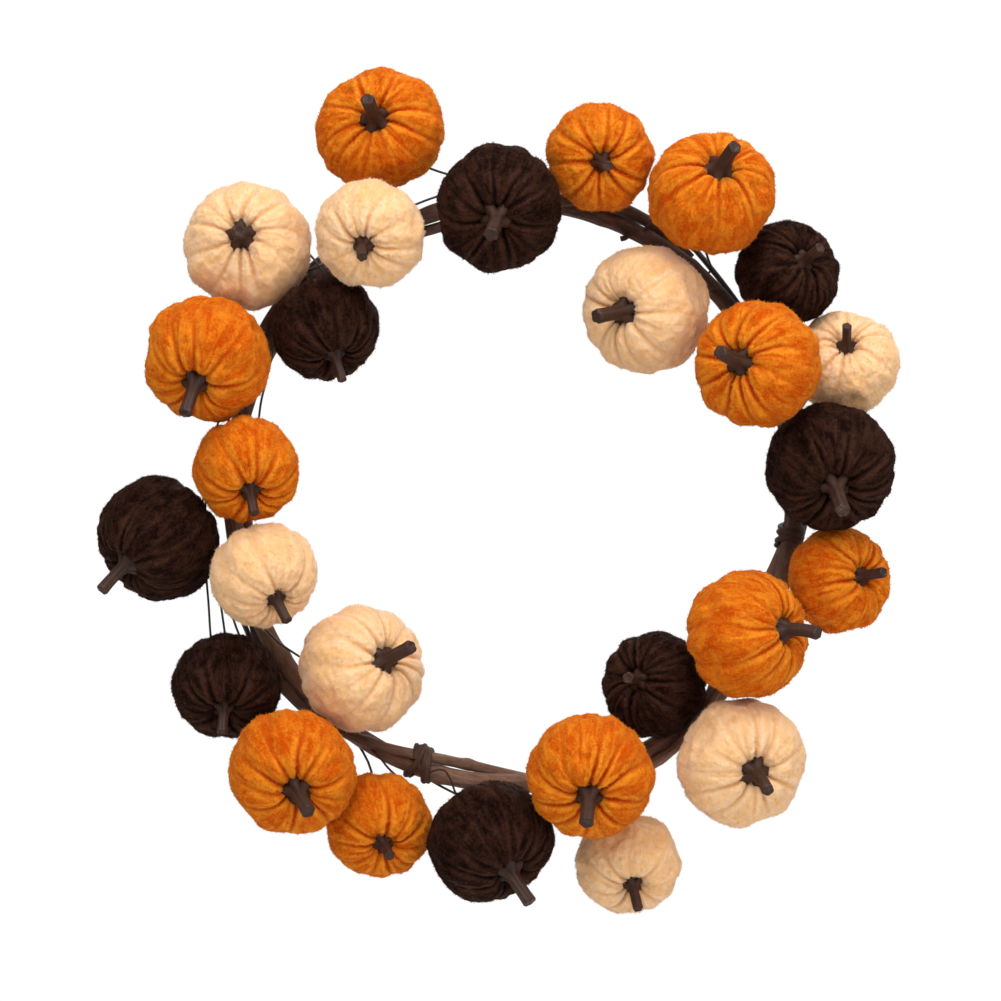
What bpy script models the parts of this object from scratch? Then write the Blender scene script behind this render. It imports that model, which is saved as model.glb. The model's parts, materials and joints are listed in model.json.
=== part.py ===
"""Harvest door wreath: velvet pumpkins on wire picks, round a ring of twisted vine.

Metres, with +Z up and the front towards -Y. The origin is where a door hook
carries the ring: the underside of the main cane, at the top.
"""

import math

import bmesh
import bpy
import numpy as np
from mathutils import Matrix, Vector

MM = 0.001
TOUCH_GAP = 0.3 * MM

# The vine ring, to the centreline of its main cane.
RING_HALF_WIDTH = 171 * MM
RING_HALF_HEIGHT = 177 * MM
MAIN_CANE_RADIUS = 5.5 * MM
SECOND_CANE_RADIUS = 3.2 * MM
SECOND_CANE_TURNS = 4.4
SECOND_CANE_START = 52
SECOND_CANE_SWEEP = 338
SECOND_CANE_PHASE = -60
MAIN_CANE_POINTS = 56
SECOND_CANE_POINTS = 72

# A pumpkin: its width and height over the lobes, and its stem.
LARGE_DIAMETER = 77 * MM
LARGE_HEIGHT = 61 * MM
LARGE_STEM_LENGTH = 23 * MM
LARGE_STEM_BASE_RADIUS = 8.0 * MM
LARGE_STEM_NECK_RADIUS = 4.0 * MM
SMALL_DIAMETER = 65 * MM
SMALL_HEIGHT = 51 * MM
SMALL_STEM_LENGTH = 17 * MM
SMALL_STEM_BASE_RADIUS = 6.0 * MM
SMALL_STEM_NECK_RADIUS = 3.2 * MM
CREST_SHARE = 0.36
SEAT_DEPTH = 6 * MM
SEAT_MARGIN = 1.2 * MM
BASE_DEPTH = 7 * MM
STEM_LEAN = 0.28
COVER_SIDES = 13
COVER_ARC_STEPS = 6
PUMPKIN_GAP = 0.8 * MM
SIDEWAYS_SHARE = 0.3
SETTLING_ROUNDS = 600

# The wire picks, and the taped bundle that gathers each spray of them.
WIRE_RADIUS = 0.75 * MM
BUNDLE_RADIUS = 1.8 * MM
SOCKET_DEPTH = 14 * MM
WIRE_APPROACH = 12 * MM
WIRE_GAP = 1.6 * MM
CLEARING_ROUNDS = 60
BUNDLE_POINTS = 20
WIRE_POINTS = 9
WIRE_BESIDE = 3 * MM
LEAVE_BEFORE = 9
BAR_SPACING = 3 * MM

# Each pumpkin: name, size, clock angle on the ring (0 at +X, 90 at the top), how far
# its centre lies outside the ring's centreline and in front of it, how far its axis
# leans away from the viewer and towards which clock angle, the clock angle that the
# stem bends to, and the side of the vine that its wire passes: 1 outside, -1 inside,
# 0 behind. Distances are in millimetres, angles in degrees.
SPRAYS = {
    "lower_right": (
        (287.5, 374),
        (
            ("15_cream", "small", 287.9, 58, 11, 38, 278, 290, 1),
            ("16_brown", "small", 307.7, -27, 18, 32, 160, 330, 0),
            ("17_cream", "large", 311.5, 33, 40, 20, 322, 272, 1),
            ("18_orange", "large", 329.7, -8, 52, 52, 8, 300, -1),
            ("19_orange", "small", 345.6, 31, 27, 36, 15, 3, 1),
            ("20_brown", "large", 4.7, 18, 43, 28, 278, 288, 1),
            ("22_orange", "large", 26, -8, 61, 28, 174, 115, 1),
        ),
    ),
    "upper_right": (
        (21, 86),
        (
            ("21_cream", "small", 21.8, 43, 15, 30, 95, 90, 1),
            ("23_brown", "small", 37.5, 39, 20, 30, 36, 41, 1),
            ("24_cream", "large", 53, -37, 20, 34, 190, 197, 0),
            ("25_orange", "large", 55.3, 39, 41, 32, 74, 353, 1),
            ("26_orange", "small", 75.2, 30, 34, 13, 277, 0, 1),
            ("27_brown", "large", 92.4, -6, 50, 18, 262, 240, 1),
            ("01_orange", "large", 110.7, 57, 14, 14, 112, 112, 1),
        ),
    ),
    "upper_left": (
        (97, 183),
        (
            ("03_cream", "small", 120.7, -1, 53, 22, 247, 320, 1),
            ("04_brown", "small", 138.8, -19, 32, 56, 290, 280, 1),
            ("02_cream", "large", 138, 40, 22, 13, 114, 300, 1),
            ("05_orange", "large", 157.1, 28, 44, 40, 253, 255, 1),
            ("06_orange", "small", 176.1, -10, 40, 40, 283, 283, 1),
            ("07_brown", "large", 187.1, 42, 24, 60, 220, 240, 1),
        ),
    ),
    "lower_left": (
        (193, 280),
        (
            ("08_cream", "small", 196.7, -14, 40, 48, 300, 298, 1),
            ("09_brown", "small", 213.9, 35, 26, 40, 268, 268, 1),
            ("10_cream", "large", 228.3, -33, 24, 38, 24, 34, 0),
            ("11_orange", "large", 230.3, 36, 43, 24, 295, 320, 1),
            ("12_orange", "small", 248.6, 39, 18, 30, 288, 60, 1),
            ("13_brown", "large", 265.6, 30, 31, 52, 303, 308, 1),
            ("14_orange", "large", 284.6, -1, 56, 25, 262, 264, 1),
        ),
    ),
}

COLOURS = {
    "orange": (0.76, 0.24, 0.02),
    "cream": (0.86, 0.62, 0.40),
    "brown": (0.045, 0.020, 0.014),
    "stem": (0.075, 0.038, 0.030),
    "vine": (0.10, 0.050, 0.030),
    "wire": (0.05, 0.045, 0.04),
}


def new_material(name, roughness, metallic=0.0):
    """A Principled material in the named colour."""
    material = bpy.data.materials.new(name)
    material.use_nodes = True
    shader = material.node_tree.nodes["Principled BSDF"]
    shader.inputs["Base Color"].default_value = (*COLOURS[name], 1)
    shader.inputs["Roughness"].default_value = roughness
    shader.inputs["Metallic"].default_value = metallic
    material.diffuse_color = (*COLOURS[name], 1)
    return material


def ring_point(clock, out=0.0, forward=0.0):
    """A point given by its clock angle, and its distance outside and in front of the ring."""
    angle = math.radians(clock)
    centre_drop = RING_HALF_HEIGHT - MAIN_CANE_RADIUS
    x = RING_HALF_WIDTH * math.cos(angle) + out * math.cos(angle)
    z = RING_HALF_HEIGHT * math.sin(angle) + out * math.sin(angle) - centre_drop
    return np.array((x, -forward, z))


def main_cane_path():
    step = 360 / MAIN_CANE_POINTS
    return np.array([ring_point(step * i) for i in range(MAIN_CANE_POINTS)])


def second_cane_path():
    """The second cane winds round the main one."""
    winding = MAIN_CANE_RADIUS + SECOND_CANE_RADIUS + 2 * TOUCH_GAP
    path = []
    for i in range(SECOND_CANE_POINTS):
        share = i / (SECOND_CANE_POINTS - 1)
        clock = SECOND_CANE_START + SECOND_CANE_SWEEP * share
        turn = math.radians(SECOND_CANE_PHASE + 360 * SECOND_CANE_TURNS * share)
        path.append(ring_point(clock, winding * math.cos(turn), winding * math.sin(turn)))
    return np.array(path)


def dimensions(size):
    """A size's dimensions: half width, half height, and the stem's length and radii."""
    if size == "large":
        stem = (LARGE_STEM_LENGTH, LARGE_STEM_BASE_RADIUS, LARGE_STEM_NECK_RADIUS)
        return (LARGE_DIAMETER / 2, LARGE_HEIGHT / 2, *stem)
    stem = (SMALL_STEM_LENGTH, SMALL_STEM_BASE_RADIUS, SMALL_STEM_NECK_RADIUS)
    return (SMALL_DIAMETER / 2, SMALL_HEIGHT / 2, *stem)


def clock_direction(clock):
    return np.array((math.cos(math.radians(clock)), 0, math.sin(math.radians(clock))))


def place_pumpkins():
    """Every pumpkin with its centre, axis and bend, in the order of the sprays."""
    pumpkins = []
    for spray, (_, rows) in SPRAYS.items():
        for name, size, clock, out, forward, lean, lean_clock, bend_clock, side in rows:
            tilt = math.radians(lean)
            axis = clock_direction(lean_clock) * math.sin(tilt)
            axis[1] = -math.cos(tilt)
            pumpkins.append({
                "name": name,
                "spray": spray,
                "size": size,
                "clock": clock,
                "side": side,
                "centre": ring_point(clock, out * MM, forward * MM),
                "axis": axis,
                "bend": clock_direction(bend_clock),
            })
    return pumpkins


def reach(pumpkin, direction):
    """How far a pumpkin reaches from its centre, along a unit direction."""
    half_width, half_height = dimensions(pumpkin["size"])[:2]
    crest = CREST_SHARE * half_width
    along = min(abs(float(pumpkin["axis"] @ direction)), 1.0)
    across = math.sqrt(1 - along * along)
    return crest * across + math.hypot((half_width - crest) * across, half_height * along)


def away_from(place, points):
    """The unit direction from the nearest of some points, and the distance to it."""
    offsets = place - points
    lengths = np.linalg.norm(offsets, axis=1)
    nearest = int(np.argmin(lengths))
    return offsets[nearest] / lengths[nearest], lengths[nearest]


def settle(pumpkins, canes):
    """Nudges pumpkins apart, mostly in depth, until each clears its neighbours and the canes."""
    yielding = np.array((SIDEWAYS_SHARE, 1, SIDEWAYS_SHARE))
    for _ in range(SETTLING_ROUNDS):
        moved = 0.0
        for i, pumpkin in enumerate(pumpkins):
            for other in pumpkins[i + 1:]:
                offset = other["centre"] - pumpkin["centre"]
                length = np.linalg.norm(offset)
                direction = offset / length
                room = reach(pumpkin, direction) + reach(other, direction) + PUMPKIN_GAP
                short = room - length
                if short > 0:
                    pumpkin["centre"] -= direction * yielding * short
                    other["centre"] += direction * yielding * short
                    moved = max(moved, short)
            for path, radius in canes:
                direction, length = away_from(pumpkin["centre"], path)
                short = reach(pumpkin, direction) + radius + PUMPKIN_GAP - length
                if short > 0:
                    pumpkin["centre"] += direction * yielding * short
                    moved = max(moved, short)
        if moved < 0.01 * MM:
            break


def cover_profile(size):
    """Half the section of a cover, from its stem seat over the lobes to its wire socket."""
    half_width, half_height, _, stem_base, _ = dimensions(size)
    crest = CREST_SHARE * half_width
    bulge = half_width - crest
    seat = stem_base + SEAT_MARGIN
    top = math.acos((seat - crest) / bulge)
    bottom = -math.acos((0.5 * crest - crest) / bulge)
    socket = WIRE_RADIUS + 1.5 * TOUCH_GAP
    profile = [(0, half_height - SEAT_DEPTH), (seat, half_height - SEAT_DEPTH)]
    for i in range(COVER_ARC_STEPS + 1):
        turn = top + (bottom - top) * i / COVER_ARC_STEPS
        profile.append((crest + bulge * math.cos(turn), half_height * math.sin(turn)))
    mouth = BASE_DEPTH - half_height
    profile += [(socket, mouth), (socket, mouth + SOCKET_DEPTH), (0, mouth + SOCKET_DEPTH)]
    return profile


def cover_mesh(size):
    """A cover's section as a chain of edges, for a Screw modifier to turn."""
    profile = [(x, 0, z) for x, z in cover_profile(size)]
    edges = [(i, i + 1) for i in range(len(profile) - 1)]
    mesh = bpy.data.meshes.new(size + "_cover")
    mesh.from_pydata(profile, edges, [])
    return mesh


def curve_data(name, points, radii, cyclic=False):
    """A round bar along points, with a radius at each."""
    data = bpy.data.curves.new(name, "CURVE")
    data.dimensions = "3D"
    data.bevel_depth = 1.0
    data.bevel_resolution = 2
    data.use_fill_caps = not cyclic
    spline = data.splines.new("POLY")
    spline.points.add(len(points) - 1)
    for spot, place, radius in zip(spline.points, points, radii):
        spot.co = (*place, 1)
        spot.radius = radius
    spline.use_cyclic_u = cyclic
    return data


def stem_data(size):
    """A stem: a flared foot, a narrow neck that bends towards +X, and a cut tip."""
    _, half_height, length, base, neck = dimensions(size)
    foot = half_height - SEAT_DEPTH + TOUCH_GAP
    shares = (0, 0.12, 0.35, 0.7, 1)
    radii = (base, 0.8 * base, 1.1 * neck, neck, 1.15 * neck)
    points = [(STEM_LEAN * length * share ** 2, 0, foot + length * share) for share in shares]
    return curve_data(size + "_stem", points, radii)


def attitude(pumpkin):
    """The turn that takes +Z to a pumpkin's axis and +X to the side its stem bends to."""
    axis = Vector(pumpkin["axis"])
    bend = Vector(pumpkin["bend"])
    bend = (bend - axis * bend.dot(axis)).normalized()
    return Matrix((bend, axis.cross(bend), axis)).transposed()


def make_pumpkin(pumpkin, meshes, stems, collection, materials):
    """A cover, turned from its section, with its stem parented to it."""
    name = "pumpkin_" + pumpkin["name"]
    cover = bpy.data.objects.new(name + "_cover", meshes[pumpkin["size"]])
    cover.location = pumpkin["centre"]
    cover.rotation_euler = attitude(pumpkin).to_euler()
    turn = cover.modifiers.new("turn", "SCREW")
    turn.steps = COVER_SIDES
    turn.render_steps = COVER_SIDES
    turn.use_merge_vertices = True
    turn.merge_threshold = 0.00001
    turn.use_smooth_shade = True
    collection.objects.link(cover)
    stem = bpy.data.objects.new(name + "_stem", stems[pumpkin["size"]])
    stem.parent = cover
    collection.objects.link(stem)
    colour = pumpkin["name"].split("_")[1]
    for piece, material in ((cover, colour), (stem, "stem")):
        if not piece.material_slots:
            piece.data.materials.append(materials[material])
        piece.material_slots[0].link = "OBJECT"
        piece.material_slots[0].material = materials[material]


def smooth_path(points, count):
    """Evenly numbered points on a smooth curve through the given ones."""
    points = np.array(points)
    ends = np.vstack((2 * points[0] - points[1], points, 2 * points[-1] - points[-2]))
    path = []
    for share in np.linspace(0, len(points) - 1, count):
        i = min(int(share), len(points) - 2)
        t = share - i
        p0, p1, p2, p3 = ends[i:i + 4]
        path.append(0.5 * (2 * p1 + (p2 - p0) * t + (2 * p0 - 5 * p1 + 4 * p2 - p3) * t ** 2
                           + (3 * p1 - p0 - 3 * p2 + p3) * t ** 3))
    return np.array(path)


def dense(path, spacing):
    """The path's points with more between them, no further apart than the spacing."""
    filled = [path[0]]
    for start, end in zip(path, path[1:]):
        count = max(1, math.ceil(np.linalg.norm(end - start) / spacing))
        filled += [start + (end - start) * (i + 1) / count for i in range(count)]
    return np.array(filled)


def evenly(path, count):
    """The same route with its points spaced evenly, which takes out any kink."""
    lengths = np.linalg.norm(np.diff(path, axis=0), axis=1)
    along = np.concatenate(((0,), np.cumsum(lengths)))
    wanted = np.linspace(0, along[-1], count)
    return np.stack([np.interp(wanted, along, path[:, i]) for i in range(3)], axis=1)


def way_out(place, radius, pumpkins, bars):
    """The step that takes a place on a wire out of every pumpkin and bar that it is in."""
    start = place
    for pumpkin in pumpkins:
        offset = place - pumpkin["centre"]
        length = np.linalg.norm(offset)
        room = reach(pumpkin, offset / length) + radius + WIRE_GAP
        place = place + offset / length * max(room - length, 0)
    for bar, bar_radius in bars:
        direction, length = away_from(place, bar)
        place = place + direction * max(radius + bar_radius + WIRE_GAP - length, 0)
    return place - start


def clear_path(path, radius, fixed, pumpkins, bars):
    """Bends a wire's free points round the pumpkins and round the bars already there."""
    path = path.copy()
    last = len(path) - 1
    free = set(range(fixed[0], len(path) - fixed[1]))
    for ease in np.linspace(0.2, 0, CLEARING_ROUNDS):
        path = evenly(path, len(path))
        for i in free:
            neighbours = (path[max(i - 1, 0)] + path[min(i + 1, last)]) / 2
            path[i] += (neighbours - path[i]) * ease
        for i in range(max(2 * fixed[0] - 1, 0), min(2 * (last - fixed[1]) + 1, 2 * last) + 1):
            ends = {i // 2, (i + 1) // 2} & free
            for end in ends:
                place = (path[i // 2] + path[(i + 1) // 2]) / 2
                path[end] += way_out(place, radius, pumpkins, bars)
    return evenly(path, len(path))


def bundle_path(clocks, pumpkins, bars):
    """A spray's bundle: behind the ring and a little outside it."""
    start, end = clocks
    out = MAIN_CANE_RADIUS + BUNDLE_RADIUS
    path = [ring_point(clock, out, -out) for clock in np.linspace(start, end, BUNDLE_POINTS)]
    return clear_path(np.array(path), BUNDLE_RADIUS, (0, 0), pumpkins, bars)


def wire_path(pumpkin, bundle, clocks, pumpkins, bars):
    """One pick, from its spray's bundle round the vine and up into the pumpkin's socket."""
    half_height = dimensions(pumpkin["size"])[1]
    mouth = pumpkin["centre"] - pumpkin["axis"] * (half_height - BASE_DEPTH)
    end = mouth + pumpkin["axis"] * (SOCKET_DEPTH - TOUCH_GAP)
    approach = mouth - pumpkin["axis"] * WIRE_APPROACH
    start_clock, end_clock = clocks
    clock = pumpkin["clock"] + (360 if pumpkin["clock"] < start_clock - 90 else 0)
    leave = min(max(clock - LEAVE_BEFORE, start_clock + 1), end_clock - 1)
    share = (leave - start_clock) / (end_clock - start_clock)
    index = int(round(share * (BUNDLE_POINTS - 1)))
    route = [bundle[index]]
    beside = MAIN_CANE_RADIUS + 2 * SECOND_CANE_RADIUS + WIRE_BESIDE
    past = (pumpkin["side"] * beside, 0) if pumpkin["side"] else (0, -beside)
    route.append(ring_point((2 * clock + leave) / 3, *past))
    path = smooth_path(route + [approach, mouth], WIRE_POINTS)
    path = clear_path(path, WIRE_RADIUS, (1, 1), pumpkins, bars)
    return np.vstack((path, end))


def bar_mesh(name, points, radius):
    """A round bar along points, as a closed mesh."""
    data = curve_data(name, points, [radius] * len(points))
    curve = bpy.data.objects.new(name, data)
    bpy.context.scene.collection.objects.link(curve)
    bpy.context.view_layer.update()
    graph = bpy.context.evaluated_depsgraph_get()
    mesh = bpy.data.meshes.new_from_object(curve.evaluated_get(graph))
    bpy.data.objects.remove(curve)
    weld(mesh)
    return bpy.data.objects.new(name, mesh)


def weld(mesh):
    shape = bmesh.new()
    shape.from_mesh(mesh)
    bmesh.ops.remove_doubles(shape, verts=shape.verts, dist=0.00001)
    shape.to_mesh(mesh)
    shape.free()


def make_spray(name, clocks, members, pumpkins, bars, collection, materials):
    """A bundle of picks with its wires united to it."""
    bundle = bundle_path(clocks, pumpkins, bars)
    spray = bar_mesh(name, bundle, BUNDLE_RADIUS)
    spray.data.materials.append(materials["wire"])
    collection.objects.link(spray)
    wires = bpy.data.collections.new(name + "_wires")
    bpy.context.scene.collection.children.link(wires)
    taken = [(dense(bundle, BUNDLE_RADIUS), BUNDLE_RADIUS)]
    for pumpkin in members:
        path = wire_path(pumpkin, bundle, clocks, pumpkins, bars)
        wire = bar_mesh(name + "_wire_" + pumpkin["name"], path, WIRE_RADIUS)
        wire.hide_render = True
        wire.display_type = "WIRE"
        wires.objects.link(wire)
        taken.append((dense(path, 2 * WIRE_RADIUS), WIRE_RADIUS))
    joined = spray.modifiers.new("wires", "BOOLEAN")
    joined.operation = "UNION"
    joined.operand_type = "COLLECTION"
    joined.solver = "MANIFOLD"
    joined.collection = wires
    wires.hide_render = True
    return taken


def make_cane(name, path, radius, cyclic, collection, materials):
    data = curve_data(name, path, [radius] * len(path), cyclic)
    data.materials.append(materials["vine"])
    collection.objects.link(bpy.data.objects.new(name, data))


def clear_scene():
    for old in list(bpy.data.objects):
        bpy.data.objects.remove(old)


def main():
    clear_scene()
    wreath = bpy.data.collections.new("harvest_door_wreath")
    bpy.context.scene.collection.children.link(wreath)
    materials = {name: new_material(name, 0.8) for name in ("orange", "cream", "brown", "vine")}
    materials["stem"] = new_material("stem", 0.4)
    materials["wire"] = new_material("wire", 0.45, 0.6)
    canes = [(main_cane_path(), MAIN_CANE_RADIUS), (second_cane_path(), SECOND_CANE_RADIUS)]
    make_cane("vine_main_cane", *canes[0], True, wreath, materials)
    make_cane("vine_second_cane", *canes[1], False, wreath, materials)
    closed = np.vstack((canes[0][0], canes[0][0][:1]))
    bars = [
        (dense(closed, BAR_SPACING), MAIN_CANE_RADIUS),
        (dense(canes[1][0], BAR_SPACING), SECOND_CANE_RADIUS),
    ]
    pumpkins = place_pumpkins()
    settle(pumpkins, bars)
    meshes = {size: cover_mesh(size) for size in ("large", "small")}
    stems = {size: stem_data(size) for size in ("large", "small")}
    for pumpkin in pumpkins:
        make_pumpkin(pumpkin, meshes, stems, wreath, materials)
    for spray, (clocks, _) in SPRAYS.items():
        members = [pumpkin for pumpkin in pumpkins if pumpkin["spray"] == spray]
        bars += make_spray("wires_" + spray, clocks, members, pumpkins, bars, wreath, materials)


main()
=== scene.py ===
import json
import math

import bmesh
import bpy
import numpy as np
from mathutils import Matrix, Vector, noise

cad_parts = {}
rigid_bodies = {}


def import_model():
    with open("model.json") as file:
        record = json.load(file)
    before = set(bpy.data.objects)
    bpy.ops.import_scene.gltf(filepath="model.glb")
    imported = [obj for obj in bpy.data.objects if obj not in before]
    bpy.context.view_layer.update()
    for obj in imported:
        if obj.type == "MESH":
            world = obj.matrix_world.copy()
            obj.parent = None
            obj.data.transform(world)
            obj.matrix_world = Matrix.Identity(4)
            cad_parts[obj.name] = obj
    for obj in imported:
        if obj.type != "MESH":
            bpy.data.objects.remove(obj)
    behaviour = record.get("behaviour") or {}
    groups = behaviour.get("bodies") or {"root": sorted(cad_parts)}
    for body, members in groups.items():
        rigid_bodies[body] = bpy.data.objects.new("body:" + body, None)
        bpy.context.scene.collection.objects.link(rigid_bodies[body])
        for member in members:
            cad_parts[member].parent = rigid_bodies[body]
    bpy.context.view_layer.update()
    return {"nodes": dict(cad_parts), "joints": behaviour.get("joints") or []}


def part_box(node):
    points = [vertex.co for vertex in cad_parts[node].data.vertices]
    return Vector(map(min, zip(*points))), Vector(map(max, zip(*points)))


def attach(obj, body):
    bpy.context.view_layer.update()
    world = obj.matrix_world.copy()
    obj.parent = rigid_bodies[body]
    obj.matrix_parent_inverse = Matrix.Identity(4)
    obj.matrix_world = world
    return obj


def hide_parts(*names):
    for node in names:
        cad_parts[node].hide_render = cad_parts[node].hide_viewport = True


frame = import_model()
leftovers = [thing for thing in bpy.data.objects if thing.name in ("Cube", "Light", "Camera")]
for leftover in leftovers:
    bpy.data.objects.remove(leftover)
print("frame loaded:", len(frame["nodes"]), "nodes")


# Shader maths: a socket that takes part in sums, and one method for every other node.
class Shade:
    def __init__(self, tree, socket=None):
        self.tree = tree
        self.socket = socket

    def node(self, kind, settings=None, inputs=None, out=0):
        made = self.tree.nodes.new(kind)
        for name, value in (settings or {}).items():
            if name == "stops":
                fillRamp(made.color_ramp, value)
            else:
                setattr(made, name, value)
        for name, value in (inputs or {}).items():
            self.plug(value, made.inputs[name])
        return Shade(self.tree, made.outputs[out])

    def plug(self, value, target):
        if isinstance(value, Shade):
            self.tree.links.new(value.socket, target)
        else:
            target.default_value = value

    def maths(self, operation, *values):
        settings = {"operation": operation}
        return self.node("ShaderNodeMath", settings, dict(enumerate(values)))

    def mix(self, low, high):
        made = self.tree.nodes.new("ShaderNodeMix")
        made.data_type = "RGBA"
        self.plug(self, made.inputs[0])
        self.plug(low, made.inputs[6])
        self.plug(high, made.inputs[7])
        return Shade(self.tree, made.outputs[2])

    def __add__(self, other):
        return self.maths("ADD", self, other)

    def __radd__(self, other):
        return self.maths("ADD", other, self)

    def __sub__(self, other):
        return self.maths("SUBTRACT", self, other)

    def __rsub__(self, other):
        return self.maths("SUBTRACT", other, self)

    def __mul__(self, other):
        return self.maths("MULTIPLY", self, other)

    def __rmul__(self, other):
        return self.maths("MULTIPLY", other, self)


def fillRamp(ramp, stops):
    while len(ramp.elements) < len(stops):
        ramp.elements.new(0.5)
    for element, (place, value) in zip(ramp.elements, stops):
        element.position = place
        element.color = (value, value, value, 1) if isinstance(value, float) else value


def newMaterial(name, constants):
    material = bpy.data.materials.new(name)
    material.use_nodes = True
    shader = material.node_tree.nodes["Principled BSDF"]
    for socket, value in constants.items():
        shader.inputs[socket].default_value = value
    return material, Shade(material.node_tree), shader


def finishMaterial(graph, shader, links):
    for socket, value in links.items():
        graph.plug(value, shader.inputs[socket])


# Camera, lights and stage
view = {
    "distance": 2.6,
    "seen": 0.6006,          # width in view at the wreath's middle depth
    "across": -0.0075,
    "up": -0.176,
    "depth": -0.035,
}
camera = bpy.data.objects.new("camera", bpy.data.cameras.new("camera"))
camera.data.sensor_width = 36
camera.data.lens = 36 * view["distance"] / view["seen"]
camera.location = (view["across"], view["depth"] - view["distance"], view["up"])
camera.rotation_euler = (math.radians(90), 0, 0)
camera.data.clip_end = 30
bpy.context.scene.collection.objects.link(camera)
bpy.context.scene.camera = camera
bpy.context.scene.view_settings.view_transform = "Standard"
bpy.context.scene.view_settings.look = "None"

studio = {
    "key": ((-0.6, -2.2, 1.6), 1.6, 36),
    "fill": ((1.7, -1.8, 0.5), 1.8, 20),
    "top": ((0.3, -0.8, 1.8), 1.4, 30),
    "back": ((0.4, 2.2, 0.8), 2.0, 30),
}


def addLight(name, place, size, power):
    lamp = bpy.data.lights.new(name, "AREA")
    lamp.size = size
    lamp.energy = power
    light = bpy.data.objects.new(name, lamp)
    light.location = place
    aim = Vector((0, 0, view["up"])) - Vector(place)
    light.rotation_euler = aim.to_track_quat("-Z", "Y").to_euler()
    bpy.context.scene.collection.objects.link(light)


for lightName, (place, size, power) in studio.items():
    addLight(lightName, place, size, power)

world = bpy.data.worlds.new("studio")
bpy.context.scene.world = world
world.use_nodes = True
sky = Shade(world.node_tree)
seen = sky.node("ShaderNodeLightPath")
background = world.node_tree.nodes["Background"]
background.inputs["Color"].default_value = (1, 1, 1, 1)
sky.plug(seen * 0.52 + 0.52, background.inputs["Strength"])

stageSettings = {"floorSize": 5.0, "floorHeight": -1.2}
shape = bmesh.new()
bmesh.ops.create_grid(shape, x_segments=8, y_segments=8, size=stageSettings["floorSize"] / 2)
bmesh.ops.translate(shape, verts=shape.verts, vec=(0, 0, stageSettings["floorHeight"]))
floorMesh = bpy.data.meshes.new("floor")
shape.to_mesh(floorMesh)
shape.free()
floor = bpy.data.objects.new("floor", floorMesh)
bpy.context.scene.collection.objects.link(floor)
floorMaterial, floorGraph, floorShader = newMaterial("paleFloor", {"Roughness": 0.9})
spread = floorGraph.node("ShaderNodeTexNoise", {}, {"Scale": 2.0, "Detail": 3.0})
floorTone = spread.mix((0.86, 0.86, 0.86, 1), (0.9, 0.9, 0.89, 1))
finishMaterial(floorGraph, floorShader, {"Base Color": floorTone})
floorMesh.materials.append(floorMaterial)
print("stage ready")


# Shared makers
def newPiece(name, mesh, body, slot, material, replaced=()):
    piece = bpy.data.objects.new(name, mesh)
    bpy.context.scene.collection.objects.link(piece)
    mesh.materials.clear()
    mesh.materials.append(material)
    mesh.shade_smooth()
    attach(piece, body)
    if replaced:
        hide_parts(*replaced)
    return piece


def smoothPath(points, count, closed=False):
    points = [Vector(point) for point in points]
    total = len(points) if closed else len(points) - 1
    path = []
    for k in range(count):
        share = total * k / (count if closed else count - 1)
        i = min(int(share), total - 1)
        t = share - i
        if closed:
            p0, p1, p2, p3 = (points[(i + j - 1) % len(points)] for j in range(4))
        else:
            p1, p2 = points[i], points[i + 1]
            p0 = points[i - 1] if i else p1 * 2 - p2
            p3 = points[i + 2] if i + 2 < len(points) else p2 * 2 - p1
        path.append(0.5 * (2 * p1 + (p2 - p0) * t + (2 * p0 - 5 * p1 + 4 * p2 - p3) * t * t
                           + (3 * p1 - p0 - 3 * p2 + p3) * t ** 3))
    return path


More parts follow.
